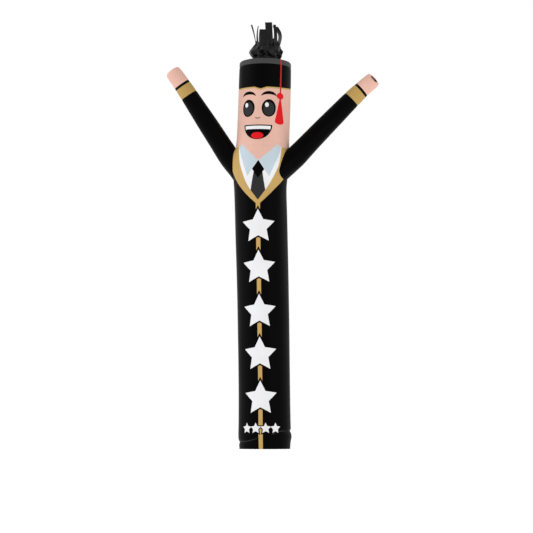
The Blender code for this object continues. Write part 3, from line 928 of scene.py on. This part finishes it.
def band_surface(girth, height):
    degrees = girth_angle(girth)
    from_head, from_rim = height - cap_edge(degrees), RIM_HEIGHT - height
    lift = sewn(girth, from_head) + sewn(girth, from_rim, 0.012)
    return body(degrees, height, lift)


def with_runs(rows, run):
    """Rows of (place, radius, ...) with the length along the profile put first."""
    profile = []
    for index, row in enumerate(rows):
        if index:
            run += math.hypot(row[0] - rows[index - 1][0], row[1] - rows[index - 1][1])
        profile.append((run, *row))
    return profile


def rim_profile():
    """Rows of (run, height, radius) up the rim's side and over onto the cap's top."""
    start, rise = RIM_HEIGHT, SHOULDER_HEIGHT - RIM_HEIGHT
    rows = [(height, float(smooth(GIRTH_ROWS, 1, height))) for height in (start, start + 0.6 * rise)]
    rows.append((SHOULDER_HEIGHT, 0.1112))
    rows += [(SHOULDER_HEIGHT + lift, radius) for radius, lift in TOP_ROWS]
    return with_runs(rows, start)


TOP_ROWS = (  # radius from the axis, height above the shoulder
    (0.1090, 0.0026),
    (0.1055, 0.0040),
    (0.0900, 0.0072),
    (0.0760, 0.0088),
    (TOP_VENT_RADIUS, 0.0094),
)
RIM_PROFILE = rim_profile()
RIM_END = RIM_PROFILE[4][0]
TOP_END = RIM_PROFILE[-1][0]


def cap_centre(height, radius):
    """The x of the middle of a ring of the cap's top."""
    rim_radius = TOP_ROWS[0][0]
    share = np.maximum(rim_radius - radius, 0.0) / (rim_radius - TOP_VENT_RADIUS)
    lean = (height - RIM_HEIGHT) * math.sin(lean_at(RIM_HEIGHT))
    return STAND_X + smooth(AXIS_ROWS, 1, RIM_HEIGHT) + lean + TOP_VENT_SHIFT * share


def rim_surface(girth, run):
    """The rim and the top beyond it."""
    height, radius = smooth(RIM_PROFILE, 1, run), smooth(RIM_PROFILE, 2, run)
    from_band, from_top = run - RIM_HEIGHT, run - RIM_END
    lift = sewn(girth, from_band, 0.012) + 0.6 * seam_lift(from_top)
    lift = lift + 0.8 * pucker_lift(girth, from_top, 0.010)
    angle, lean = np.radians(girth_angle(girth)), lean_at(RIM_HEIGHT)
    slope = np.clip((run - SHOULDER_HEIGHT + 0.006) / 0.010, 0.0, 1.0)
    centre = cap_centre(height, radius)
    radius = radius + lift * (1.0 - slope)
    height = height + lift * slope
    across = radius * np.sin(angle)
    x, y, z = centre + across * math.cos(lean), -radius * np.cos(angle), height - across * math.sin(lean)
    return np.stack([x, y, z], axis=-1)


def finish_piece(made, nodes):
    """The piece rides on the body and stands for its solids, which are hidden."""
    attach(made, "root")
    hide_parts(*nodes)


def level(height):
    """A tube's edge at one height all round."""
    return lambda girths: np.full_like(girths, height)


def cap_line(girths):
    return cap_edge(girth_angle(girths))


def make_body(cloths):
    half = math.pi * PRINT_RADIUS
    girth = 2 * half
    holes = [hole for hole, _ in ARMHOLES.values()]
    tassel = tassel_prints(cloths)
    cord = tassel[:1]
    round_head = np.linspace(-half, half, 180)
    heights = cap_line(round_head)
    piping = [*zip(round_head, heights + PIPING_TOP), *list(zip(round_head, heights - PIPING))[::-1]]
    dress = dress_prints(cloths)
    face = [*face_prints(cloths), *collar_prints(cloths), (cloths["gold"], piping), *tassel]
    neck, rim, end = level(NECK_HEIGHT), level(RIM_HEIGHT), level(RIM_END)
    head_rise, band_rise = CAP_EDGE_HEIGHT - NECK_HEIGHT, RIM_HEIGHT - CAP_EDGE_HEIGHT + CAP_EDGE_DIP
    for name, surface, low, high, prints, cloth, gaps, step, solid, slot, rise in (
            ("gown_cloth", gown_surface, level(0.0), neck, dress, "black", holes, CLOTH_STEP,
             "gown_tube", "gown_black", NECK_HEIGHT),
            ("head_cloth", head_surface, neck, cap_line, face, "skin", (), HEAD_STEP,
             "head_panel", "skin_tone", head_rise),
            ("cap_band_cloth", band_surface, cap_line, rim, cord, "cap", (), HEAD_STEP,
             "cap_band", "cap_black", band_rise),
            ("cap_rim_cloth", rim_surface, rim, end, cord, "rim", (), RIM_STEP,
             "cap_rim", "rim_grey", RIM_END - RIM_HEIGHT)):
        made = printed_tube(name, surface, low, high, half, prints, cloths[cloth], gaps, step)
        finish_piece(made, [solid])

    runs = np.linspace(RIM_END, TOP_END, 12)
    top = ring_tube("cap_top_cloth", lambda g, v: rim_surface(g - half, v), 120, girth, runs, cloths["cap"])
    finish_piece(top, ["cap_top"])


# ---- arms


def arm_surface(side, lift_at):
    """The surface of an arm's cloth from girth round the arm and place along it."""
    def surface(girth, place):
        turn = girth / ARM_GIRTH_RADIUS
        return arm_point(side, turn, place, smooth(ARM_ROWS, 1, place) + lift_at(girth, place))
    return surface


def make_sleeve(side, end, cloths):
    turns = np.linspace(0.0, 2 * math.pi, ARM_COLUMNS + 1)
    roots = root_place(side, turns) + seam_reach(side, turns)

    def surface(girth, run):
        turn = girth / ARM_GIRTH_RADIUS
        root = np.interp(turn % (2 * math.pi), turns, roots)
        place = root + run * (end - root)
        from_root, from_end = place - root, end - place
        lift = 1.2 * seam_lift(from_root) + 1.6 * pucker_lift(girth, from_root, 0.03)
        lift = lift + sewn(girth, from_end)
        return arm_point(side, turn, place, smooth(ARM_ROWS, 1, place) + lift)

    root_runs, end_runs = np.linspace(0, 0.15, 16), np.linspace(0.9, 1, 10)
    runs = np.concatenate([root_runs, np.linspace(0.15, 0.9, 40)[1:], end_runs[1:]])
    made = ring_tube("sleeve_cloth_" + side, surface, ARM_COLUMNS, ARM_GIRTH, runs, cloths["black"])
    for corner in made.data.uv_layers["cloth"].data:  # back to metres, where the run was a share
        corner.uv.y *= end
    finish_piece(made, ["sleeve_" + side])


def make_arm(arm, cloths):
    side, length, slant = arm[0], arm[5], arm[6]
    hand = length - HAND_LENGTH
    band = hand - EDGE_BAND_LENGTH
    cuff = band - arm[9]
    make_sleeve(side, cuff, cloths)
    for name, low, high, cloth, slot, node_name in (
            ("cuff_cloth_", cuff, band, "cuff", "cuff_gold", "cuff_"),
            ("edge_band_cloth_", band, hand, "cap", "cap_black", "cuff_band_")):
        def lift_at(g, place, low=low, high=high):
            lift = seam_lift(place - low) + seam_lift(high - place)
            return lift + 0.7 * pucker_lift(g, place - low, 0.01) + 0.7 * pucker_lift(g, high - place, 0.01)
        runs = np.linspace(low, high, max(int((high - low) / 0.0025), 4) + 1)
        surface = arm_surface(side, lift_at)
        made = ring_tube(name + side, surface, ARM_COLUMNS, ARM_GIRTH, runs, cloths[cloth])
        finish_piece(made, [node_name + side])
    make_hand(side, hand, length, slant, cloths)


def hand_profile(start, length):
    """Rows of (run, place, radius, slant share) along the hand and in over its end."""
    rows = [(start, float(smooth(ARM_ROWS, 1, start)), 0.0)]
    for back, share, tip in HAND_ROWS:
        place = length + back
        rows.append((place, float(smooth(ARM_ROWS, 1, place)) * share, tip))
    return with_runs(rows, 0.0)


def make_hand(side, start, length, slant, cloths):
    profile = hand_profile(start, length)
    end = profile[-1][0]

    def surface(girth, run):
        turn = girth / ARM_GIRTH_RADIUS
        place, radius = smooth(profile, 1, run), smooth(profile, 2, run)
        forward = np.maximum(np.sin(turn) * FRONT_SIGN[side], 0.0)
        shift = (slant * np.sin(turn) - HAND_TILT[side] * forward) * smooth(profile, 3, run)
        lift = sewn(girth, run, 0.01) + 1.2 * pucker_lift(girth, end - run, 0.012)
        return arm_point(side, turn, place + shift, radius + lift)

    runs = np.linspace(0.0, end, 40)
    made = ring_tube("hand_cloth_" + side, surface, ARM_COLUMNS, ARM_GIRTH, runs, cloths["skin"])
    finish_piece(made, ["hand_" + side])


# ---- hair


def hair_relief(degrees, height):
    rise = max(height - CREASE_HEIGHT, 0.0) / (CUT_HEIGHT - CREASE_HEIGHT)
    angle = math.radians(degrees)
    waves = 0.0038 * math.sin(5 * angle + 4.4 * rise) + 0.0026 * math.sin(8 * angle - 6.0 * rise)
    return waves * min(2.5 * rise, 1.0)


def fold_value(column, row, seed):
    """A fixed random number from -1 to 1 for each corner of a grid of facets."""
    return 2.0 * ((math.sin(column * 12.9898 + row * 78.233 + seed * 37.719) * 43758.5453) % 1.0) - 1.0


def hair_point(degrees, height, lift=0.0):
    radius = HAIR_RADIUS * float(smooth(HAIR_ROWS, 1, height)) + hair_relief(degrees, height) + lift
    angle = math.radians(degrees)
    middle = float(cap_centre(CREASE_HEIGHT, TOP_VENT_RADIUS)) + float(smooth(HAIR_ROWS, 2, height))
    return Vector((middle + radius * math.sin(angle), -radius * math.cos(angle), height))


def creased_point(column, degrees, row, height):
    """A corner of the crumpled film's flat folds."""
    turned = degrees + FILM_TURN * fold_value(column, row, 3)
    level = height + FILM_SLIDE * fold_value(column, row, 2)
    return hair_point(turned, level, FILM_DEPTH * fold_value(column, row, 1))


def strip_point(strip, share, rise):
    """A point of a cut strip: share runs across it, rise from the cut to its tip."""
    first, last, _, x, y, height, width, turn, bow = strip
    start, end = hair_point(first, CUT_HEIGHT), hair_point(last, CUT_HEIGHT)
    foot, chord = (start + end) / 2, end - start
    tip = Vector((x + STAND_X, y, height))
    facing = Vector((math.cos(math.radians(turn)), math.sin(math.radians(turn)), 0.0))
    across = chord.lerp(facing * width, rise**0.8)
    middle = math.radians((first + last) / 2)
    outward = Vector((math.sin(middle), -math.cos(middle), 0.0))
    line = foot.lerp(tip, rise) + outward * (bow * math.sin(math.pi * rise))
    round_edge = hair_point(first + share * (last - first), CUT_HEIGHT)
    level = line + across * (share - 0.5)
    return level.lerp(round_edge + (line - foot), (1.0 - rise) ** 2)


def make_hair(cloths):
    """One ring of film: a crumpled sleeve through the top's vent, cut into strips above."""
    columns = []
    for strip in HAIR_STRIPS:
        first, last, count = strip[:3]
        shares = [index / (count - 1) for index in range(count)]
        columns += [(strip, share, first + share * (last - first)) for share in shares]
    plain_heights = (HAIR_ROWS[0][0], CREASE_HEIGHT)
    rows = [[hair_point(angle, height) for _, _, angle in columns] for height in plain_heights]
    for row, height in enumerate(CREASE_HEIGHTS):
        rows.append([creased_point(index, columns[index][2], row, height) for index in range(len(columns))])
    cut_row = len(rows)
    for step in range(STRIP_STEPS + 1):
        rows.append([strip_point(strip, share, step / STRIP_STEPS) for strip, share, _ in columns])
    wide = len(columns)
    points = [point for row in rows for point in row]
    girths = [math.radians(angle) * HAIR_RADIUS for _, _, angle in columns]
    uv = [(girth, point.z) for row in rows for girth, point in zip(girths, row)]
    faces = []
    for row in range(len(rows) - 1):
        for column in range(wide):
            if row >= cut_row and columns[column][1] == 1.0:
                continue
            after = (column + 1) % wide
            low, low_after = row * wide + column, row * wide + after
            high, high_after = low + wide, low_after + wide
            if (row + column) % 2:
                faces += [(low, low_after, high_after), (low, high_after, high)]
            else:
                faces += [(low, low_after, high), (low_after, high_after, high)]
    made = cloth_object("hair_film_strips", points, faces, uv, [cloths["film"]], [0] * len(faces))
    made.data.set_sharp_from_angle(angle=math.radians(FACET_ANGLE))
    finish_piece(made, ["hair_streamers"])


# ---- stage, light and camera


def make_stage():
    """A plain pale floor under a white sky."""
    mesh = bpy.data.meshes.new("floor")
    corners = [(x * FLOOR_HALF, y * FLOOR_HALF, 0) for x, y in ((-1, -1), (1, -1), (1, 1), (-1, 1))]
    mesh.from_pydata(corners, [], [(0, 1, 2, 3)])
    floor = new_object("floor", mesh)
    pale = new_material("pale_floor", {
        "Base Color": (*FLOOR_GREY, 1.0), "Roughness": 1.0, "Specular IOR Level": 0.0,
        "Emission Color": (1.0, 1.0, 1.0, 1.0), "Emission Strength": FLOOR_GLOW})[0]
    mesh.materials.append(pale)
    bpy.context.scene.world = make_sky()
    bpy.context.scene.view_settings.view_transform = "Standard"


def make_sky():
    """White as the background; as light it is stronger from the left and weaker from the right."""
    world = bpy.data.worlds.new("studio")
    world.use_nodes = True
    tree = world.node_tree
    direction = node(tree, "ShaderNodeTexCoord").outputs["Generated"]
    parts = node(tree, "ShaderNodeSeparateXYZ", {0: direction})
    right = node(tree, "ShaderNodeMath", {
        0: parts.outputs["X"], 1: SKY_RIGHT, 2: SKY_MEAN}, operation="MULTIPLY_ADD")
    both = node(tree, "ShaderNodeMath", {
        0: parts.outputs["Y"], 1: SKY_BACK, 2: right.outputs[0]}, operation="MULTIPLY_ADD")
    seen = node(tree, "ShaderNodeLightPath").outputs["Is Camera Ray"]
    strength = node(tree, "ShaderNodeMix", {"Factor": seen, "A": both.outputs[0], "B": 1.0})
    background = tree.nodes["Background"]
    background.inputs["Color"].default_value = (1.0, 1.0, 1.0, 1.0)
    tree.links.new(strength.outputs["Result"], background.inputs["Strength"])
    return world


def area_light(name, location, power, size):
    data = bpy.data.lights.new(name, "AREA")
    data.energy = power
    data.size = size
    made = new_object(name, data)
    made.location = location
    made.rotation_euler = (Vector(location) - Vector(LIGHT_TARGET)).to_track_quat("Z", "Y").to_euler()


def make_camera():
    data = bpy.data.cameras.new("camera")
    data.sensor_width = SENSOR_WIDTH
    data.lens = LENS
    made = new_object("camera", data)
    made.location = (STAND_X, -CAMERA_DISTANCE, CAMERA_HEIGHT)
    made.rotation_euler = (math.pi / 2 + math.radians(CAMERA_PITCH), 0.0, math.radians(CAMERA_YAW))
    bpy.context.scene.camera = made


def build():
    cloths = make_cloths()
    make_body(cloths)
    for arm in ARMS:
        make_arm(arm, cloths)
    make_hair(cloths)
    make_stage()
    for softbox in SOFTBOXES:
        area_light(*softbox)
    make_camera()


build()
